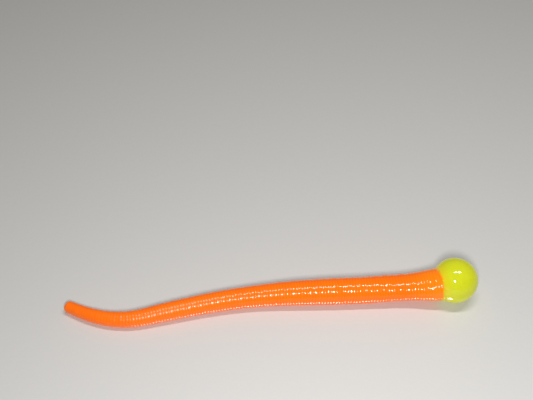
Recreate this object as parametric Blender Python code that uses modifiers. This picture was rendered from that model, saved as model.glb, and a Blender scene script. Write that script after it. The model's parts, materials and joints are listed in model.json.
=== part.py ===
"""Soft plastic worm for trout fishing: a ball head fused to a long, tapering, finely ringed body.

The real worm is two soft mouldings: the ball head, and one body that bends anywhere along its
length. Here the body is divided at its ring grooves into short turned segments. Each segment has a
dome on its head side, centred on its hinge, which sits in a round cup in the segment before it, so
the chain bends like the soft body and no two solids meet. The hinges turn sideways and up and down
by turns. The worm lies on the floor in a gentle curve, with +X towards the ball and +Z up.
"""

import math

import bmesh
import bpy
import numpy as np
from mathutils import Matrix, Vector

MM = 0.001

# Driving dimensions, in metres
BALL_DIAMETER = 8.1 * MM
BALL_FLAT_DEPTH = 0.05 * MM  # how far the soft ball is pressed flat where it stands
BOND_GAP = 0.1 * MM  # between the ball and the round seat in the front of the body
RING_PITCH = 0.52 * MM
RING_DEPTH = 0.08 * MM  # of the grooves, below the large rings
SMALL_RING_DROP = 0.03 * MM  # how much lower every second ring is
NECK_RINGS = 12  # the first of them are cut away by the seat
SEGMENT_RINGS = 8
SEGMENT_COUNT = 14
TAIL_RINGS = 10
DOME_RINGS = 2  # how many rings the segment's wall reaches ahead of its hinge
HINGE_GAP = 0.2 * MM  # between a dome and the cup around it
TIP_ROUNDING = 0.8 * MM
SIDES = 16  # around a segment
ARC_STEPS = 3  # from the axis to the rim of a dome, a cup or the tip
BALL_SEGMENTS = 32
CUTTER_SIZE = 20 * MM

# The body's centreline from inside the ball to the tip, and its radius there, in millimetres. From
# the sixth station on, the body lies on the floor, so its height is its radius.
STATIONS = (
    # x, y, height, radius
    (-1.40, -0.37, 3.90, 2.92),
    (-2.45, -0.42, 3.71, 2.83),
    (-6.20, -0.50, 3.02, 2.48),
    (-10.0, -0.55, 2.70, 2.41),
    (-15.2, -0.90, 2.45, 2.41),
    (-21.0, -1.20, 2.40, 2.40),
    (-27.8, -1.45, 2.28, 2.28),
    (-36.8, -2.15, 1.95, 1.95),
    (-45.6, -3.80, 1.78, 1.78),
    (-52.6, -5.65, 1.65, 1.65),
    (-58.2, -6.80, 1.45, 1.45),
    (-63.1, -6.23, 1.30, 1.30),
    (-66.5, -4.95, 1.18, 1.18),
    (-69.8, -3.30, 1.00, 1.00),
)
GUIDE_RESOLUTION = 24

# Colour, roughness and metallic of each moulding
HEAD_FINISH = ((0.70, 0.76, 0.015, 1.0), 0.15, 0.0)
BODY_FINISH = ((1.0, 0.18, 0.004, 1.0), 0.2, 0.0)


def clear_scene():
    """Start from nothing."""
    for item in list(bpy.data.objects):
        bpy.data.objects.remove(item)


def new_collection(name):
    collection = bpy.data.collections.new(name)
    bpy.context.scene.collection.children.link(collection)
    return collection


def make_material(name, finish):
    colour, roughness, metallic = finish
    material = bpy.data.materials.new(name)
    material.use_nodes = True
    shader = material.node_tree.nodes["Principled BSDF"]
    shader.inputs["Base Color"].default_value = colour
    shader.inputs["Roughness"].default_value = roughness
    shader.inputs["Metallic"].default_value = metallic
    return material


def hide_guide(item):
    """A guide or cutter shapes the parts, and is not one itself."""
    item.hide_render = True
    item.display_type = "WIRE"


class Body:
    """The body's centreline by its length from the ball, and its radius along it."""

    def __init__(self, guides):
        curve = bpy.data.curves.new("centreline", "CURVE")
        curve.dimensions = "3D"
        curve.resolution_u = GUIDE_RESOLUTION
        spline = curve.splines.new("BEZIER")
        spline.bezier_points.add(len(STATIONS) - 1)
        for point, (x, y, height, _) in zip(spline.bezier_points, STATIONS):
            point.co = Vector((x, y, height)) * MM
            point.handle_left_type = "AUTO"
            point.handle_right_type = "AUTO"
        guide = bpy.data.objects.new("centreline", curve)
        guides.objects.link(guide)
        hide_guide(guide)
        bpy.context.view_layer.update()
        mesh = bpy.data.meshes.new_from_object(guide.evaluated_get(bpy.context.evaluated_depsgraph_get()))
        self.points = np.array([vertex.co for vertex in mesh.vertices])
        bpy.data.meshes.remove(mesh)
        steps = np.linalg.norm(np.diff(self.points, axis=0), axis=1)
        self.lengths = np.concatenate(([0.0], np.cumsum(steps)))
        self.station_lengths = self.lengths[::GUIDE_RESOLUTION]
        self.station_radii = np.array(STATIONS)[:, 3] * MM

    def point(self, length):
        return Vector([np.interp(length, self.lengths, self.points[:, axis]) for axis in range(3)])

    def radius(self, length):
        return float(np.interp(length, self.station_lengths, self.station_radii))

    def groove(self, length):
        return self.radius(length) - RING_DEPTH


def arc(radius, centre, rim_radius):
    """Points of a round dome or cup from the axis to its rim, as (distance from axis, height)."""
    rim_angle = math.asin(rim_radius / radius)
    angles = [rim_angle * step / ARC_STEPS for step in range(ARC_STEPS + 1)]
    return [(radius * math.sin(angle), centre + radius * math.cos(angle)) for angle in angles]


def ringed_wall(body, start, end, top):
    """The wall's outline between two lengths along the body, which run down from the height top."""
    half_pitch = RING_PITCH / 2
    outline = []
    for half_ring in range(round(start / half_pitch) + 1, math.ceil(end / half_pitch - 0.5)):
        length = half_ring * half_pitch
        depth = (RING_DEPTH, 0.0, RING_DEPTH, SMALL_RING_DROP)[half_ring % 4]
        outline.append((body.radius(length) - depth, top - (length - start)))
    return outline


def turned_solid(name, outline, collection, material):
    """A solid turned about its own Z axis from an outline that runs down its outer side."""
    mesh = bpy.data.meshes.new(name)
    half_step = math.pi / SIDES
    vertices = [(r * math.cos(half_step), r * math.sin(half_step), z) for r, z in outline]
    mesh.from_pydata(vertices, [(i, i + 1) for i in range(len(vertices) - 1)], [])
    solid = bpy.data.objects.new(name, mesh)
    collection.objects.link(solid)
    screw = solid.modifiers.new("turn", "SCREW")
    screw.axis = "Z"
    screw.steps = SIDES
    screw.render_steps = SIDES
    screw.use_merge_vertices = True
    screw.merge_threshold = 0.000001
    mesh.materials.append(material)
    return solid


def facing(origin, towards):
    """A placement at origin whose Z axis points at another point, with Y kept upright."""
    turn = (towards - origin).to_track_quat("Z", "Y")
    return Matrix.Translation(origin) @ turn.to_matrix().to_4x4()


def place(item, parent, placement):
    item.parent = parent
    bpy.context.view_layer.update()
    item.matrix_world = placement


def empty(name, parent, placement, collection):
    item = bpy.data.objects.new(name, None)
    item.empty_display_size = BALL_DIAMETER / 2
    collection.objects.link(item)
    place(item, parent, placement)
    bpy.context.view_layer.update()
    return item


def dome_radius(body, hinge):
    return math.hypot(DOME_RINGS * RING_PITCH, body.groove(hinge - DOME_RINGS * RING_PITCH))


def dome(body, hinge):
    """The head side of a segment, centred on its hinge at height 0, and where its wall starts."""
    wall_start = hinge - DOME_RINGS * RING_PITCH
    return arc(dome_radius(body, hinge), 0.0, body.groove(wall_start)), wall_start


def cup(body, hinge, depth):
    """The cup that holds the next dome, centred on that hinge, and where the wall before it ends."""
    radius = dome_radius(body, hinge) + HINGE_GAP
    rim = body.groove(hinge - (DOME_RINGS + 1) * RING_PITCH)
    wall_end = hinge - math.sqrt(radius**2 - rim**2)
    return arc(radius, -depth, rim)[::-1], wall_end


def make_neck(body, hinge, collection, material):
    """The front of the body, which flares to meet the ball. Its front reaches into the ball."""
    depth = (body.point(hinge) - body.point(0)).length
    hollow, wall_end = cup(body, hinge, depth)
    front = [(0.0, 0.0), (body.radius(0), 0.0)]
    return turned_solid("neck", front + ringed_wall(body, 0, wall_end, 0) + hollow, collection, material)


def make_segment(name, body, hinge, next_hinge, collection, material):
    depth = (body.point(next_hinge) - body.point(hinge)).length
    cap, wall_start = dome(body, hinge)
    hollow, wall_end = cup(body, next_hinge, depth)
    wall = ringed_wall(body, wall_start, wall_end, hinge - wall_start)
    return turned_solid(name, cap + wall + hollow, collection, material)


def make_tail(name, body, hinge, end, collection, material):
    """The last segment, which ends in a blunt round tip."""
    cap, wall_start = dome(body, hinge)
    wall_end = end - TIP_ROUNDING
    wall = ringed_wall(body, wall_start, wall_end, hinge - wall_start)
    tip = []
    for step in range(ARC_STEPS + 1):
        angle = math.pi / 2 * step / ARC_STEPS
        height = hinge - wall_end - TIP_ROUNDING * math.sin(angle)
        tip.append((body.groove(end) * math.cos(angle), height))
    tip[-1] = (0.0, tip[-1][1])
    return turned_solid(name, cap + wall + tip, collection, material)


def sphere_mesh(name, radius):
    mesh = bpy.data.meshes.new(name)
    cage = bmesh.new()
    bmesh.ops.create_uvsphere(cage, u_segments=BALL_SEGMENTS, v_segments=BALL_SEGMENTS // 2, radius=radius)
    cage.to_mesh(mesh)
    cage.free()
    return mesh


def cut_with(item, cutter_mesh, placement, root, guides):
    """Cut a hidden shape away from an item."""
    cutter = bpy.data.objects.new(cutter_mesh.name, cutter_mesh)
    guides.objects.link(cutter)
    hide_guide(cutter)
    place(cutter, root, placement)
    cut = item.modifiers.new(cutter.name, "BOOLEAN")
    cut.operation = "DIFFERENCE"
    cut.object = cutter


def make_ball(placement, root, collection, guides, material):
    """The ball head, pressed flat where it stands."""
    mesh = sphere_mesh("head", BALL_DIAMETER / 2)
    mesh.materials.append(material)
    ball = bpy.data.objects.new("head", mesh)
    collection.objects.link(ball)
    place(ball, root, placement)
    block = bpy.data.meshes.new("floor_cutter")
    cage = bmesh.new()
    bmesh.ops.create_cube(cage, size=CUTTER_SIZE)
    cage.to_mesh(block)
    cage.free()
    cut_with(ball, block, Matrix.Translation((0, 0, -CUTTER_SIZE / 2)), root, guides)
    return ball


def centre_on_floor(root, collection):
    """Move the whole worm so that the origin is under the middle of its bounding box."""
    bpy.context.view_layer.update()
    graph = bpy.context.evaluated_depsgraph_get()
    corners = []
    for item in collection.objects:
        if item.type == "MESH":
            solid = item.evaluated_get(graph)
            mesh = solid.to_mesh()
            corners.extend(solid.matrix_world @ vertex.co for vertex in mesh.vertices)
            solid.to_mesh_clear()
    spread = np.array(corners)
    middle = (spread.min(axis=0) + spread.max(axis=0)) / 2
    root.location = (-middle[0], -middle[1], 0.0)


def main():
    clear_scene()
    parts = new_collection("soft_plastic_worm")
    guides = new_collection("guides")
    head_material = make_material("head_plastic", HEAD_FINISH)
    body_material = make_material("body_plastic", BODY_FINISH)

    root = empty("worm_origin", None, Matrix(), parts)
    body = Body(guides)
    first_hinge = NECK_RINGS * RING_PITCH
    spacing = SEGMENT_RINGS * RING_PITCH
    hinges = [first_hinge + spacing * i for i in range(SEGMENT_COUNT + 1)]
    end = hinges[-1] + TAIL_RINGS * RING_PITCH

    front = body.point(0)
    neck = make_neck(body, hinges[0], parts, body_material)
    place(neck, root, facing(front, front * 2 - body.point(hinges[0])))
    ball_centre = Matrix.Translation((0, 0, BALL_DIAMETER / 2 - BALL_FLAT_DEPTH))
    make_ball(ball_centre, root, parts, guides, head_material)
    seat = sphere_mesh("seat_cutter", BALL_DIAMETER / 2 + BOND_GAP)
    cut_with(neck, seat, ball_centre, root, guides)

    parent = root
    for number, (hinge, next_hinge) in enumerate(zip(hinges, hinges[1:] + [end]), start=1):
        here = body.point(hinge)
        placement = facing(here, here * 2 - body.point(next_hinge))
        pivot = empty(f"hinge_{number:02d}", parent, placement, parts)
        if number <= SEGMENT_COUNT:
            name = f"body_segment_{number:02d}"
            piece = make_segment(name, body, hinge, next_hinge, parts, body_material)
        else:
            piece = make_tail("tail_tip", body, hinge, end, parts, body_material)
        place(piece, pivot, placement)
        parent = pivot

    centre_on_floor(root, parts)


main()
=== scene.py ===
"""A soft plastic trout worm: a glossy ball head fused to a finely ringed, tapering body."""

import json
import math
from typing import NamedTuple

import bmesh
import bpy
import numpy as np
from bpy.props import FloatProperty, FloatVectorProperty, PointerProperty
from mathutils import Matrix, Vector

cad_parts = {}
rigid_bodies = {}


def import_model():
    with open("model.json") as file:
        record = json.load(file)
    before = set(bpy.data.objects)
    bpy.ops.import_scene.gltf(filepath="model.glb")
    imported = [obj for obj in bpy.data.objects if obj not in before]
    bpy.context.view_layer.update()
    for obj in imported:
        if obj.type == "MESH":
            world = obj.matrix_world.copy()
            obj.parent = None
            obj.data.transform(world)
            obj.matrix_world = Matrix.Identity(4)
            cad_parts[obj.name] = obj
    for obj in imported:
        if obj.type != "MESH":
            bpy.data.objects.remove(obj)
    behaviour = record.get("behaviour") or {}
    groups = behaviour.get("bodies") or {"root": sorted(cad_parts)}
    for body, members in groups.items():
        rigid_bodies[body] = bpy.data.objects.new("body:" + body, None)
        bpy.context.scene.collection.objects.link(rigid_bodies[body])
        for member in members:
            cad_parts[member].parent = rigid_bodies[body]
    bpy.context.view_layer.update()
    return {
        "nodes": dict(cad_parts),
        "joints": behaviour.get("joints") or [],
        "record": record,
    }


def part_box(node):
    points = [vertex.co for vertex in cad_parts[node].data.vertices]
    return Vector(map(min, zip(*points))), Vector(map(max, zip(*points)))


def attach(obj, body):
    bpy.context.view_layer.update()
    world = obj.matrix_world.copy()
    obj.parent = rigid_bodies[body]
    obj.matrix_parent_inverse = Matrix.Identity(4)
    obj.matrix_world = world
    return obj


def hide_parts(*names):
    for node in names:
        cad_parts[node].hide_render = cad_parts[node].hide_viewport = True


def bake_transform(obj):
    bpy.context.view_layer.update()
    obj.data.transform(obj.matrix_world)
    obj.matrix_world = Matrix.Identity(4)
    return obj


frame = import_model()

bl_info = {
    "name": "Soft Plastic Worm",
    "version": (1, 0, 0),
    "blender": (4, 5, 0),
    "location": "View3D > Sidebar > Worm",
    "description": "Builds a ball-headed, ringed soft plastic worm around its jointed frame",
    "category": "Object",
}

MM = 0.001

# How the body was divided into the frame's segments, counted in rings
RINGS_PER_SEGMENT = 8
HALF_SEGMENT = RINGS_PER_SEGMENT / 2
FIRST_HINGE_RING = 12

# The skin, counted in rings: a margin that sets two points on the curve beside each hinge, which
# nothing uses, how far the first stretch runs into the ball, where the body starts and stops being
# wider than high, and where its lumps grow calmer
BEND_MARGIN = 0.8
BALL_OVERLAP = 2
WIDER_FROM = (1, 6)
WIDER_UNTIL = (14, 32)
CALMER_FROM = (32, 48)

# How the flattening behind the ball is shared between the width and the height
WIDTH_GAIN = 0.4
HEIGHT_LOSS = 0.6

# Where the rings fade towards the tail, as shares of the body's length, and over how many tip
# roundings the grooves close at its end
TAIL_FADE = (0.8, 0.92)
CLOSING_GROOVES = 2.5

# How much of the lumps is left on the body's lower side and towards its tail
LUMPS_BELOW = 0.2
LUMPS_AT_TAIL = 0.5

# A ring's ridge is round on the body's lower side and nearly straight-sided on the upper one, and
# below, every second ring keeps only this share of its drop
RIDGE_ROUNDNESS = 2.0
ROUNDNESS_LOST_ABOVE = 0.85
DROP_BELOW = 0.15

# Where the two colours meet: the way straight across that plane, and how far it lies from the
# ball's centre along this way
BOND_WAY = (0.978, 0.206, -0.031)
BOND_DISTANCE = -3.21 * MM

# In millimetres: how ragged and how soft the colours' edge is, how far the painted amber glow of each
# colour's light reaches past it, and between which places along the body its gloss gets duller
BOND_RAGGEDNESS = 0.3
BOND_SOFTNESS = 0.18
GLOW_ON_BALL = 1.4
GLOW_ON_BODY = 7
DULLER_BETWEEN = (18, 64)

# The height of the plastic's orange peel, and the width of the gate mark's sloping edge
ORANGE_PEEL = 0.004 * MM
GATE_EDGE = 0.25 * MM

# Mesh density
SIDES = 72
RING_LEVELS = (0.0, 0.06, 0.2, 0.38, 0.5, 0.62, 0.8, 0.94)
TIP_LEVELS = 12
BALL_CUTS = 6

# Names of the values that the meshes carry for their materials
STRAIGHT = "straight"
# GROOVE tells how near each point lies to a groove's floor, where the body's material paints shade.
GROOVE = "groove"
BOND = "bond"


# ---------------------------------------------------------------- settings


class BodySettings(bpy.types.PropertyGroup):
    """Sizes and colours of the ringed body."""

    groove_depth: FloatProperty(
        name="Groove depth", description="Depth of the grooves below the large rings",
        default=0.04 * MM, unit="LENGTH", subtype="DISTANCE", precision=6,
    )
    small_ring_drop: FloatProperty(
        name="Small ring drop", description="How much lower every second ring is",
        default=0.022 * MM, unit="LENGTH", subtype="DISTANCE", precision=6,
    )
    unevenness: FloatProperty(
        name="Unevenness", description="Height of the soft lumps in the moulded surface",
        default=0.019 * MM, unit="LENGTH", subtype="DISTANCE", precision=6,
    )
    neck_flatness: FloatProperty(
        name="Neck flatness", description="How much wider than high the body is behind the ball",
        default=0.18, min=0, max=1, subtype="FACTOR",
    )
    tail_smoothness: FloatProperty(
        name="Tail smoothness", description="How far the rings fade out towards the tail's tip",
        default=0.55, min=0, max=1, subtype="FACTOR",
    )
    tip_rounding: FloatProperty(
        name="Tip rounding", description="Length over which the tail tip is rounded",
        default=0.8 * MM, unit="LENGTH", subtype="DISTANCE", precision=6,
    )
    seam_height: FloatProperty(
        name="Seam height", description="Height of the fine mould seam along both sides",
        default=0.03 * MM, unit="LENGTH", subtype="DISTANCE", precision=6,
    )
    # Bright orange is the plastic's own colour. Deep orange is its darker tone, which varies at random,
    # and also the painted shade in the grooves.
    bright: FloatVectorProperty(
        name="Bright orange", description="Colour of the raised rings",
        default=(0.96, 0.167, 0.002), size=3, min=0, max=1, subtype="COLOR",
    )
    deep_and_shaded: FloatVectorProperty(
        name="Deep orange", description="Colour in the grooves and where the plastic is thick",
        default=(0.92, 0.12, 0.001), size=3, min=0, max=1, subtype="COLOR",
    )


class HeadSettings(bpy.types.PropertyGroup):
    """Sizes and colours of the ball head."""

    gate_radius: FloatProperty(
        name="Gate radius", description="Radius of the mould gate's mark on the nose",
        default=0.45 * MM, unit="LENGTH", subtype="DISTANCE", precision=6,
    )
    gate_height: FloatProperty(
        name="Gate height", description="How far the gate's mark stands proud",
        default=0.07 * MM, unit="LENGTH", subtype="DISTANCE", precision=6,
    )
    chartreuse: FloatVectorProperty(
        name="Chartreuse", description="Main colour of the ball",
        default=(0.51, 0.53, 0.012), size=3, min=0, max=1, subtype="COLOR",
    )
    lime: FloatVectorProperty(
        name="Lime", description="Greener tint in the ball's soft streaks",
        default=(0.47, 0.505, 0.009), size=3, min=0, max=1, subtype="COLOR",
    )
    # Amber is a painted glow beside the bond, for the light that each colour sends into the other
    # through the plastic.
    amber: FloatVectorProperty(
        name="Amber", description="Where the orange shines through beside the bond",
        default=(0.9, 0.42, 0.01), size=3, min=0, max=1, subtype="COLOR",
    )


class StudioSettings(bpy.types.PropertyGroup):
    """The floor, lights and camera."""

    floor_colour: FloatVectorProperty(
        name="Floor", description="Colour of the plain floor",
        default=(0.57, 0.56, 0.545), size=3, min=0, max=1, subtype="COLOR",
    )
    front_light: FloatProperty(
        name="Front light", description="Power of the small light beside the camera, in watts",
        default=0.14, min=0, unit="POWER",
    )
    strip_light: FloatProperty(
        name="Strip light", description="Power of the long overhead strip, in watts",
        default=0.47, min=0, unit="POWER",
    )
    bounce_light: FloatProperty(
        name="Bounce light", description="Power of the small light from below, in watts",
        default=0.05, min=0, unit="POWER",
    )
    surround: FloatProperty(
        name="Surround", description="Brightness of the plain pale surround",
        default=0.17, min=0,
    )
    lens: FloatProperty(
        name="Lens", description="Focal length of the camera, in millimetres",
        default=54.0, min=10, unit="CAMERA",
    )


class WormSettings(bpy.types.PropertyGroup):
    """Everything a user would change on the worm."""

    body: PointerProperty(type=BodySettings)
    head: PointerProperty(type=HeadSettings)
    studio: PointerProperty(type=StudioSettings)


# ---------------------------------------------------------------- shader building


class Value:
    """A node's socket, on which Python's arithmetic adds Math nodes."""

    def __init__(self, finish, socket):
        self.finish = finish
        self.socket = socket

    def math(self, operation, *operands):
        return self.finish.node("ShaderNodeMath", {"operation": operation}, operands)

    def __add__(self, other):
        return self.math("ADD", self, other)

    __radd__ = __add__

    def __sub__(self, other):
        return self.math("SUBTRACT", self, other)

    def __rsub__(self, other):
        return self.math("SUBTRACT", other, self)

    def __mul__(self, other):
        return self.math("MULTIPLY", self, other)

    __rmul__ = __mul__

    def __pow__(self, other):
        return self.math("POWER", self, other)

    def smooth(self, low, high):
        """0 at low, 1 at high and beyond, and a smooth step between them. Low may be the greater."""
        settings = {"interpolation_type": "SMOOTHSTEP"}
        return self.finish.node("ShaderNodeMapRange", settings, (self, low, high))


class Finish:
    """A material and the one method that adds its nodes."""

    def __init__(self, name):
        self.material = bpy.data.materials.new(name)
        self.material.use_nodes = True
        self.tree = self.material.node_tree
        self.shader = self.tree.nodes["Principled BSDF"]

    def node(self, kind, settings, inputs, output=0):
        """Add a node, set it, feed its sockets in order or by name, and give one of its outputs."""
        made = self.tree.nodes.new(kind)
        for key, value in settings.items():
            setattr(made, key, value)
        pairs = inputs.items() if isinstance(inputs, dict) else enumerate(inputs)
        for key, value in pairs:
            self.feed(made.inputs[key], value)
        return Value(self, made.outputs[output])

    def feed(self, socket, value):
        if isinstance(value, Value):
            self.tree.links.new(value.socket, socket)
        elif socket.type == "RGBA":
            socket.default_value = (*value, 1.0)
        else:
            socket.default_value = value

    def carried(self, name, output="Fac"):
        """A value that the mesh carries."""
        return self.node("ShaderNodeAttribute", {"attribute_name": name}, (), output)

    def noise(self, place, scale, detail=2.0, roughness=0.5):
        inputs = {"Vector": place, "Scale": scale, "Detail": detail, "Roughness": roughness}
        return self.node("ShaderNodeTexNoise", {}, inputs)

    def stretched(self, place, factors):
        """The place scaled along each axis."""
        return self.node("ShaderNodeVectorMath", {"operation": "MULTIPLY"}, (place, factors))

    def blend(self, share, first, second):
        """A colour between two others."""
        inputs = {"Factor": share, 6: first, 7: second}
        return self.node("ShaderNodeMix", {"data_type": "RGBA"}, inputs, 2)

    def bump(self, height, distance):
        return self.node("ShaderNodeBump", {}, {"Height": height, "Distance": distance})

    def surface(self, **inputs):
        """Feed the Principled shader, whose socket names are given with _ for a space."""
        for key, value in inputs.items():
            self.feed(self.shader.inputs[key.replace("_", " ")], value)


# ---------------------------------------------------------------- the worm's shape


def natural_spline(knots, points):
    """A function that gives a smooth curve through the points at the knots."""
    gaps = np.diff(knots)
    slopes = np.diff(points, axis=0) / gaps[:, None]
    count = len(knots)
    matrix = np.eye(count)
    right = np.zeros_like(points)
    for i in range(1, count - 1):
        matrix[i, i - 1 : i + 2] = gaps[i - 1], 2 * (gaps[i - 1] + gaps[i]), gaps[i]
        right[i] = 6 * (slopes[i] - slopes[i - 1])
    bends = np.linalg.solve(matrix, right)

    def curve(places):
        places = np.asarray(places, float)
        i = np.clip(np.searchsorted(knots, places, side="right") - 1, 0, count - 2)
        after = (places - knots[i])[:, None]
        gap = gaps[i][:, None]
        first = slopes[i] - gap * (2 * bends[i] + bends[i + 1]) / 6
        third = (bends[i + 1] - bends[i]) / (6 * gap)
        return points[i] + after * (first + after * (bends[i] / 2 + after * third))

    return curve


def corner_points(node):
    """The corners of a CAD node."""
    return np.array([vertex.co for vertex in frame["nodes"][node].data.vertices], float)


def crest_radius(node, start, end, share):
    """The CAD node's radius about the line from start to end, at a share of the way."""
    line = end - start
    length = np.linalg.norm(line)
    line = line / length
    offsets = corner_points(node) - start
    along = offsets @ line
    across = np.linalg.norm(offsets - np.outer(along, line), axis=1)
    near = abs(along - share * length) < length / RINGS_PER_SEGMENT
    return across[near].max()


class Centreline:
    """The worm's curve and thickness, read from the frame. Places on it are counted in rings."""

    def __init__(self):
        hinges = [np.array(joint["pos_m"]) for joint in frame["joints"]]
        self.bodies = [frame["joints"][0]["parent"]] + [joint["child"] for joint in frame["joints"]]
        nodes = [frame["record"]["behaviour"]["bodies"][body][-1] for body in self.bodies]
        low, high = (np.array(corner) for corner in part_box("neck"))
        front = np.array([high[0], *(low + high)[1:] / 2])
        far = corner_points(nodes[-1]) - hinges[-1]
        tip = hinges[-1] + far[np.argmax(np.linalg.norm(far, axis=1))]
        self.pitch = np.linalg.norm(hinges[2] - hinges[1]) / RINGS_PER_SEGMENT
        self.hinge_rings = [FIRST_HINGE_RING + RINGS_PER_SEGMENT * i for i in range(len(hinges))]
        self.front_ring = self.hinge_rings[0] - np.linalg.norm(front - hinges[0]) / self.pitch
        self.end_ring = self.hinge_rings[-1] + np.linalg.norm(tip - hinges[-1]) / self.pitch
        knots = np.array([self.front_ring, *self.hinge_rings, self.end_ring])
        points = np.array([front, *hinges, tip])
        self.curve = natural_spline(knots, points)
        self.measure_radii(nodes, points, knots)

    def measure_radii(self, nodes, points, knots):
        """Read the thickness in two places on the neck and the tail, and one on each segment."""
        neck, segment, tail = (0.45, 0.75), (0.2,), (0.2, 0.75)
        places = [neck, *[segment] * (len(nodes) - 2), tail]
        rings, radii = [], []
        for i, (node, shares) in enumerate(zip(nodes, places)):
            for share in shares:
                rings.append(knots[i] + share * (knots[i + 1] - knots[i]))
                radii.append(crest_radius(node, points[i], points[i + 1], share))
        self.radius_curve = natural_spline(np.array(rings), np.array(radii)[:, None])
        self.radius_ends = rings[0], rings[-1]

    def radius(self, rings):
        return self.radius_curve(rings)[:, 0]

    def frames(self, rings):
        """Points on the curve, with a level sideways vector and an upright one for each."""
        step = 0.01
        points = self.curve(rings)
        tangents = self.curve(rings + step) - self.curve(rings - step)
        tangents /= np.linalg.norm(tangents, axis=1)[:, None]
        sides = np.cross(tangents, (0, 0, 1))
        sides /= np.linalg.norm(sides, axis=1)[:, None]
        return points, sides, np.cross(sides, tangents)


class Waves(NamedTuple):
    """Smooth, repeatable unevenness along and round a piece, with its fastest change each way."""

    seed: int
    size: float
    count: int
    rate: float
    turns: int

    def at(self, rings, angles):
        chance = np.random.default_rng(self.seed)
        total = 0.0
        for _ in range(self.count):
            rate = chance.uniform(0.3, 1.0) * self.rate
            turn = chance.integers(0, self.turns + 1)
            phase = chance.uniform(0, 2 * math.pi)
            total = total + np.sin(rings * rate + angles * turn + phase)
        return self.size * (total / math.sqrt(self.count))


RING_LEAN = Waves(seed=11, size=0.1, count=6, rate=1.1, turns=3)
RING_SIZE = Waves(seed=23, size=0.12, count=6, rate=2.9, turns=4)
BROAD_LUMPS = Waves(seed=5, size=1.0, count=18, rate=2.6, turns=9)
FINE_LUMPS = Waves(seed=8, size=0.15, count=20, rate=6.0, turns=18)
BALL_SWELL = Waves(seed=31, size=0.018 * MM, count=5, rate=0.8, turns=1)


def new_object(name, data):
    """A new object in the scene, which is an empty where it has no data."""
    made = bpy.data.objects.new(name, data)
    bpy.context.scene.collection.objects.link(made)
    return made


def new_piece(name, mesh, material):
    """A smoothly shaded object of one material."""
    mesh.materials.append(material)
    mesh.shade_smooth()
    return new_object(name, mesh)


def cage_mesh(name, cage):
    """A mesh of a bmesh's shape, which is freed."""
    mesh = bpy.data.meshes.new(name)
    cage.to_mesh(mesh)
    cage.free()
    return mesh


def carry(piece, name, kind, values):
    """Store a value at each of the mesh's points, for its material."""
    attribute = piece.data.attributes.new(name, kind, "POINT")
    field = "vector" if kind == "FLOAT_VECTOR" else "value"
    attribute.data.foreach_set(field, np.asarray(values, np.float32).ravel())


# ---------------------------------------------------------------- the ringed body


def smooth_step(values, low, high):
    """0 up to low, 1 from high on, and a smooth step between them."""
    share = np.clip((values - low) / (high - low), 0, 1)
    return share * share * (3 - 2 * share)


def upper_side(angles):
    """0 on the body's underside and sides, and 1 towards its top."""
    return smooth_step(np.sin(angles), 0, 0.6)


def ring_heights(rings, angles, settings):
    """How far the ringed surface lies above the groove floor, as a share and in metres."""
    ring = np.floor(rings)
    share = rings - ring
    upper = upper_side(angles)
    leaning = share + RING_LEAN.at(ring, angles) * share * (1 - share)
    ridge = 1 - abs(2 * leaning - 1) ** (RIDGE_ROUNDNESS - ROUNDNESS_LOST_ABOVE * upper)
    drop = (ring % 2) * settings.small_ring_drop * (DROP_BELOW + (1 - DROP_BELOW) * upper)
    uneven = 1 + RING_SIZE.at(ring, angles)
    return ridge, (settings.groove_depth - drop) * uneven * ridge


def seam_ridge(angles, settings):
    """The fine mould seam along two opposite sides of the body."""
    seam_angle = math.radians(28)
    width = math.radians(2.6)
    off = (angles - seam_angle + math.pi / 2) % math.pi - math.pi / 2
    return settings.seam_height * np.exp(-((off / width) ** 2))


def skin_levels(start, end):
    """The rings at which the skin has a row of points, with a row in every groove."""
    whole = range(math.floor(start), math.ceil(end))
    levels = [ring + share for ring in whole for share in RING_LEVELS]
    return np.array([start, *(level for level in levels if start < level < end), end])


def skin_rows(line, start, end, rounding):
    """The ring of each row, and how far the row has turned in over the tail's tip."""
    if end < line.end_ring:
        rows = skin_levels(start, end)
        return rows, np.zeros(len(rows))
    rows = skin_levels(start, end - rounding)
    turns = np.linspace(0, math.pi / 2, TIP_LEVELS + 1)[1:-1]
    tip = rows[-1] + rounding * np.sin(turns)
    return np.concatenate((rows, tip)), np.concatenate((np.zeros(len(rows)), turns))


def skin_radius(line, rings, around, height, rounding, settings):
    """The body's radius at each point, with its rings, lumps and mould seam."""
    fade_start, fade_end = (share * line.end_ring for share in TAIL_FADE)
    height = height * (1 - settings.tail_smoothness * smooth_step(rings, fade_start, fade_end))
    fade = np.clip((line.end_ring - rings) / (CLOSING_GROOVES * rounding), 0, 1) ** 0.5
    radius = line.radius(rings[:, 0])[:, None] - settings.groove_depth * fade + height * fade
    lumps = BROAD_LUMPS.at(rings, around) + FINE_LUMPS.at(rings, around)
    lumps = lumps * (LUMPS_BELOW + (1 - LUMPS_BELOW) * upper_side(around))
    lumps = lumps * (1 - (1 - LUMPS_AT_TAIL) * smooth_step(rings, *CALMER_FROM))
    return radius + seam_ridge(around, settings) + settings.unevenness * lumps


def skin_points(line, rows, around, radius, settings):
    """Points round the centreline. Behind the ball the body is wider than high."""
    centres, sides, ups = line.frames(rows)
    flatness = smooth_step(rows, *WIDER_FROM) * (1 - smooth_step(rows, *WIDER_UNTIL))
    flatness = settings.neck_flatness * flatness[:, None]
    across = radius * (1 + WIDTH_GAIN * flatness) * np.cos(around)
    upright = radius * (1 - HEIGHT_LOSS * flatness) * np.sin(around)
    points = centres[:, None] + across[..., None] * sides[:, None] + upright[..., None] * ups[:, None]
    points = points.reshape(-1, 3)
    points[:, 2] = np.maximum(points[:, 2], 0)
    return points


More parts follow.
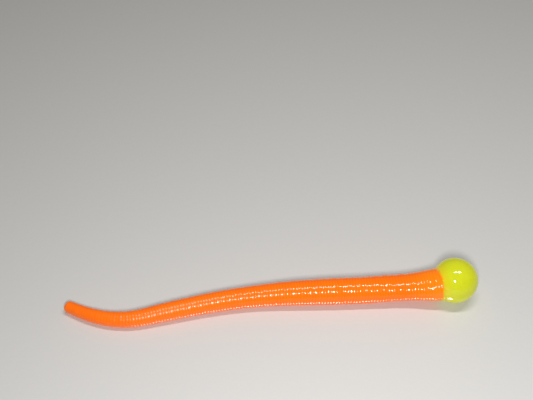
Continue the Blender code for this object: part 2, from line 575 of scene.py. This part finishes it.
def skin_faces(rows):
    """Four-sided faces between the rows, and a fan round an added point at each end."""
    index = np.arange(rows * SIDES).reshape(rows, SIDES)
    nearer, farther = index[:-1], index[1:]
    quads = np.stack((nearer, np.roll(nearer, -1, 1), np.roll(farther, -1, 1), farther), axis=-1)
    faces = [tuple(quad) for quad in quads.reshape(-1, 4)]
    front, back = rows * SIDES, rows * SIDES + 1
    faces += [(front, b, a) for a, b in zip(index[0], np.roll(index[0], -1))]
    faces += [(back, a, b) for a, b in zip(index[-1], np.roll(index[-1], -1))]
    return faces


def make_skin(name, line, start, end, material, settings):
    """One closed stretch of the ringed body, from ring start to ring end."""
    rounding = settings.tip_rounding / line.pitch
    rows, tip_turns = skin_rows(line, start, end, rounding)
    angles = np.linspace(0, 2 * math.pi, SIDES, endpoint=False)
    rings, around = np.meshgrid(rows, angles, indexing="ij")
    share, height = ring_heights(rings, around, settings)
    radius = skin_radius(line, rings, around, height, rounding, settings)
    radius = radius * np.cos(tip_turns)[:, None]
    points = skin_points(line, rows, around, radius, settings)
    ends = [line.curve([rows[0]])[0], line.curve([end])[0]]
    mesh = bpy.data.meshes.new(name)
    mesh.from_pydata(np.concatenate((points, ends)), [], skin_faces(len(rows)))
    piece = new_piece(name, mesh, material)

    on_groove = abs(rows - np.round(rows)) < 1e-6
    on_groove[0] = True
    if end < line.end_ring:
        on_groove[-1] = True
    else:
        on_groove[rows > end - rounding * 2] = False
    mark_grooves_sharp(piece, on_groove)
    straight = (rings * line.pitch, radius * np.cos(around), radius * np.sin(around))
    straight = np.stack(straight, axis=-1).reshape(-1, 3)
    axis_points = [(rows[0] * line.pitch, 0, 0), (end * line.pitch, 0, 0)]
    carry(piece, STRAIGHT, "FLOAT_VECTOR", np.concatenate((straight, axis_points)) / MM)
    carry(piece, GROOVE, "FLOAT", np.append(1 - share, (0, 0)))
    return piece


def mark_grooves_sharp(piece, on_groove):
    """Give each groove a crisp floor, so that the stretches join without a trace."""
    mesh = piece.data
    ends = np.empty(len(mesh.edges) * 2, int)
    mesh.edges.foreach_get("vertices", ends)
    level = ends.reshape(-1, 2) // SIDES
    same = (level[:, 0] == level[:, 1]) & (level[:, 0] < len(on_groove))
    sharp = same & on_groove[np.minimum(level[:, 0], len(on_groove) - 1)]
    attribute = mesh.attributes.new("sharp_edge", "BOOLEAN", "EDGE")
    attribute.data.foreach_set("value", sharp)


def past_bond(points, centre):
    """How far points lie on the ball's side of the plane where the colours meet, in millimetres."""
    return ((points - np.array(centre)) @ BOND_WAY - BOND_DISTANCE) / MM


def two_tone_and_painted_glow(finish, place, orange, chartreuse, amber):
    """Orange before the bond and chartreuse past it, with a soft edge and a painted amber glow beside
    it, for the light each colour sends into the other.
    """
    past = finish.carried(BOND)
    ragged = past + finish.noise(place, 1.5) * BOND_RAGGEDNESS - BOND_RAGGEDNESS / 2
    before = finish.blend(past.smooth(-GLOW_ON_BODY, 0) * 0.18, orange, amber)
    beyond = finish.blend(past.smooth(GLOW_ON_BALL, 0) * 0.25, chartreuse, amber)
    return finish.blend(ragged.smooth(-BOND_SOFTNESS, BOND_SOFTNESS), before, beyond)


def body_finish(settings):
    """Glossy fluorescent orange soft plastic."""
    finish = Finish("body_plastic")
    place = finish.carried(STRAIGHT, "Vector")
    groove = finish.carried(GROOVE)
    clouds = finish.noise(place, 0.35, 3.0)
    grain = finish.noise(place, 6.0, 2.0)
    # Painted shade darkens the grooves (the groove term); the clouds and grain are the plastic's own
    # tone, varying at random.
    groove_shade_and_clouds = groove**3 * 0.38 + clouds * 0.4 + grain * 0.14
    orange = finish.blend(groove_shade_and_clouds.smooth(0.05, 0.95), settings.body.bright, settings.body.deep_and_shaded)
    colour = two_tone_and_painted_glow(finish, place, orange, settings.head.chartreuse, settings.head.amber)
    smudge = finish.noise(place, 0.9, 3.0).smooth(0.35, 0.75)
    along = finish.node("ShaderNodeSeparateXYZ", {}, (place,))
    duller_tail = along.smooth(*DULLER_BETWEEN) * 0.22
    roughness = 0.07 + smudge * 0.06 + grain * 0.04 + duller_tail
    peel = finish.noise(place, 9.0, 2.0)
    # The emission is a painted glow, lit without any lamp, that stands in for the fluorescent plastic's
    # brightness and evens its shading.
    finish.surface(
        Base_Color=colour, Roughness=roughness, IOR=1.43,
        Normal=finish.bump(peel, ORANGE_PEEL),
        Emission_Color=colour, Emission_Strength=0.08,
    )
    return finish.material


# ---------------------------------------------------------------- the ball head


def ball_measures():
    """The ball's centre and radius, from its CAD node."""
    low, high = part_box("head")
    radius = (high.x - low.x) / 2
    return Vector(((low.x + high.x) / 2, (low.y + high.y) / 2, high.z - radius)), radius


def make_ball(material, line, settings):
    """The ball, with a flat patch where it rests and the gate's mark on its nose."""
    centre, radius = ball_measures()
    cage = bmesh.new()
    bmesh.ops.create_icosphere(cage, subdivisions=BALL_CUTS, radius=1.0)
    mesh = cage_mesh("head_ball", cage)
    ball = new_piece("head_ball", mesh, material)
    ways = np.array([vertex.co for vertex in mesh.vertices], float)
    ways /= np.linalg.norm(ways, axis=1)[:, None]
    swell = BALL_SWELL.at(ways[:, 0] * 6, ways[:, 1] * 3)
    nose = np.arccos(np.clip(ways @ nose_way(line, centre), -1, 1)) * radius
    off_gate = np.clip((nose - settings.gate_radius) / GATE_EDGE, 0, 1)
    gate = settings.gate_height * (1 - off_gate) ** 2
    points = np.array(centre) + ways * (radius + swell + gate)[:, None]
    points[:, 2] = np.maximum(points[:, 2], 0)
    mesh.vertices.foreach_set("co", points.ravel())
    carry(ball, STRAIGHT, "FLOAT_VECTOR", (points - np.array(centre)) / MM)
    carry(ball, BOND, "FLOAT", past_bond(points, centre))
    return ball


def nose_way(line, centre):
    """The direction from the neck through the ball to its nose."""
    way = np.array(centre) - line.curve([FIRST_HINGE_RING])[0]
    return way / np.linalg.norm(way)


def head_finish(settings):
    """Glossy, slightly see-through chartreuse soft plastic."""
    finish = Finish("head_plastic")
    place = finish.carried(STRAIGHT, "Vector")
    streaks = finish.noise(finish.stretched(place, (0.25, 0.5, 0.5)), 1.0, 3.0)
    specks = finish.noise(place, 5.0, 2.0)
    lime = (streaks * 0.8 + specks * 0.2).smooth(0.35, 0.75)
    tinted = finish.blend(lime, settings.head.chartreuse, settings.head.lime)
    colour = two_tone_and_painted_glow(finish, place, settings.body.bright, tinted, settings.head.amber)
    smudge = finish.noise(place, 0.7, 3.0).smooth(0.4, 0.8)
    roughness = 0.06 + smudge * 0.08 + specks * 0.02
    # The emission is a painted glow, lit without any lamp, that stands in for the fluorescent,
    # see-through plastic's brightness and softens its shading.
    finish.surface(
        Base_Color=colour, Roughness=roughness, IOR=1.5,
        Normal=finish.bump(specks, ORANGE_PEEL),
        Emission_Color=colour, Emission_Strength=0.2,
        Subsurface_Weight=0.3, Subsurface_Scale=1.2 * MM, Subsurface_Radius=(1.0, 0.8, 0.1),
    )
    return finish.material


# ---------------------------------------------------------------- operators


class WORM_OT_head(bpy.types.Operator):
    """Build the ball head"""

    bl_idname = "worm.head"
    bl_label = "Ball head"

    def execute(self, context):
        settings = context.scene.worm
        line = Centreline()
        ball = make_ball(head_finish(settings), line, settings.head)
        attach(ball, line.bodies[0])
        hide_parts("head")
        return {"FINISHED"}


class WORM_OT_body(bpy.types.Operator):
    """Build the ringed body, one stretch across each hinge"""

    bl_idname = "worm.body"
    bl_label = "Ringed body"

    def execute(self, context):
        settings = context.scene.worm
        line = Centreline()
        material = body_finish(settings)
        centre, _ = ball_measures()
        for number, hinge in enumerate(line.hinge_rings, start=1):
            first = number == 1
            last = number == len(line.hinge_rings)
            start = line.front_ring - BALL_OVERLAP if first else hinge - HALF_SEGMENT
            end = line.end_ring if last else hinge + HALF_SEGMENT
            name = "body_tail" if last else f"body_skin_{number:02d}"
            skin = make_skin(name, line, start, end, material, settings.body)
            points = np.array([vertex.co for vertex in skin.data.vertices])
            carry(skin, BOND, "FLOAT", past_bond(points, centre))
            reach = HALF_SEGMENT - BEND_MARGIN
            near, far = line.curve([hinge - reach, hinge + reach])
            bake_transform(skin)
            replaced = ["tail_tip"] if last else [f"body_segment_{number:02d}"]
            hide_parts(*(["neck"] if first else []), *replaced)
        return {"FINISHED"}


def soft_light(name, shape, size, power, place, target):
    """An area light that faces its target, or straight down where it has none."""
    data = bpy.data.lights.new(name, "AREA")
    data.shape = shape
    data.size, data.size_y = size
    data.energy = power
    light = new_object(name, data)
    light.location = place
    if target:
        light.rotation_euler = (place - target).to_track_quat("Z", "Y").to_euler()
    return light


def pass_through(light, floor):
    """The floor neither takes nor stops this light, which stands for what a bright floor gives back."""
    spared = bpy.data.collections.new("spared_by_bounce")
    spared.objects.link(floor)
    spared.collection_objects[0].light_linking.link_state = "EXCLUDE"
    light.light_linking.receiver_collection = spared
    light.light_linking.blocker_collection = spared


def keep_below(floor, line):
    """Markers under the body keep the floor beneath it where a pose bends the body down."""
    for body, hinge in zip(line.bodies[1:], line.hinge_rings):
        ring = min(hinge + HALF_SEGMENT, line.end_ring)
        marker = new_object(f"under_{body}", None)
        marker.location = Vector(line.curve([ring])[0]) - Vector((0, 0, line.radius([ring])[0]))
        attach(marker, body)
        hold = floor.constraints.new("FLOOR")
        hold.target = marker
        hold.floor_location = "FLOOR_NEGATIVE_Z"


def make_floor(settings):
    """A large plain floor."""
    half_width = 1.5
    cage = bmesh.new()
    bmesh.ops.create_grid(cage, x_segments=1, y_segments=1, size=half_width)
    mesh = cage_mesh("floor", cage)
    finish = Finish("floor_surface")
    place = finish.node("ShaderNodeTexCoord", {}, (), "Object")
    grain = finish.noise(place, 900.0, 3.0)
    finish.surface(
        Base_Color=settings.floor_colour, Roughness=0.5 + grain * 0.2, IOR=1.45,
        Normal=finish.bump(grain, 0.02 * MM),
    )
    mesh.materials.append(finish.material)
    floor = new_object("floor", mesh)
    return floor


class WORM_OT_studio(bpy.types.Operator):
    """Lay the floor, and set the lights and the camera"""

    bl_idname = "worm.studio"
    bl_label = "Floor, lights and camera"

    camera_pitch = math.radians(43.2)
    camera_offset = Vector((-33.8, -94.7, 108.7)) * MM
    front_way = Vector((-0.205, -0.706, 0.678))
    front_distance = 140 * MM
    strip_offset = Vector((18, 2, 300)) * MM
    bounce_offset = Vector((-22, -59, -127)) * MM
    front_size = (22 * MM, 22 * MM)
    strip_size = (190 * MM, 18 * MM)
    bounce_size = (38 * MM, 38 * MM)
    surround_colour = (1.0, 0.96, 0.89, 1.0)

    def execute(self, context):
        settings = context.scene.worm.studio
        scene = context.scene
        ball, _ = ball_measures()
        floor = make_floor(settings)

        world = bpy.data.worlds.new("pale_surround")
        world.use_nodes = True
        background = world.node_tree.nodes["Background"]
        background.inputs["Color"].default_value = self.surround_colour
        background.inputs["Strength"].default_value = settings.surround
        scene.world = world

        front = ball + self.front_way.normalized() * self.front_distance
        strip = ball + self.strip_offset
        below = ball + self.bounce_offset
        soft_light("front_light", "DISK", self.front_size, settings.front_light, front, ball)
        soft_light("strip_light", "RECTANGLE", self.strip_size, settings.strip_light, strip, None)
        power = settings.bounce_light
        bounce = soft_light("bounce_light", "DISK", self.bounce_size, power, below, ball)
        pass_through(bounce, floor)
        keep_below(floor, Centreline())

        lens = bpy.data.cameras.new("camera")
        lens.sensor_width = 36
        lens.lens = settings.lens
        lens.clip_start = 1 * MM
        lens.clip_end = 10
        camera = new_object("camera", lens)
        camera.location = ball + self.camera_offset
        camera.rotation_euler = (math.pi / 2 - self.camera_pitch, 0, 0)
        scene.camera = camera
        scene.view_settings.view_transform = "Standard"
        return {"FINISHED"}


class WORM_PT_panel(bpy.types.Panel):
    """The worm's operators and settings"""

    bl_label = "Soft Plastic Worm"
    bl_idname = "WORM_PT_panel"
    bl_space_type = "VIEW_3D"
    bl_region_type = "UI"
    bl_category = "Worm"

    def draw(self, context):
        settings = context.scene.worm
        for operator in OPERATORS:
            self.layout.operator(operator.bl_idname)
        for group in (settings.body, settings.head, settings.studio):
            box = self.layout.box()
            for name in type(group).__annotations__:
                box.prop(group, name)


OPERATORS = (WORM_OT_head, WORM_OT_body, WORM_OT_studio)
CLASSES = (BodySettings, HeadSettings, StudioSettings, WormSettings, *OPERATORS, WORM_PT_panel)


def register():
    for item in CLASSES:
        bpy.utils.register_class(item)
    bpy.types.Scene.worm = PointerProperty(type=WormSettings)


def unregister():
    del bpy.types.Scene.worm
    for item in reversed(CLASSES):
        bpy.utils.unregister_class(item)


def main():
    register()
    bpy.ops.worm.head()
    bpy.ops.worm.body()
    bpy.ops.worm.studio()


if __name__ == "__main__":
    main()
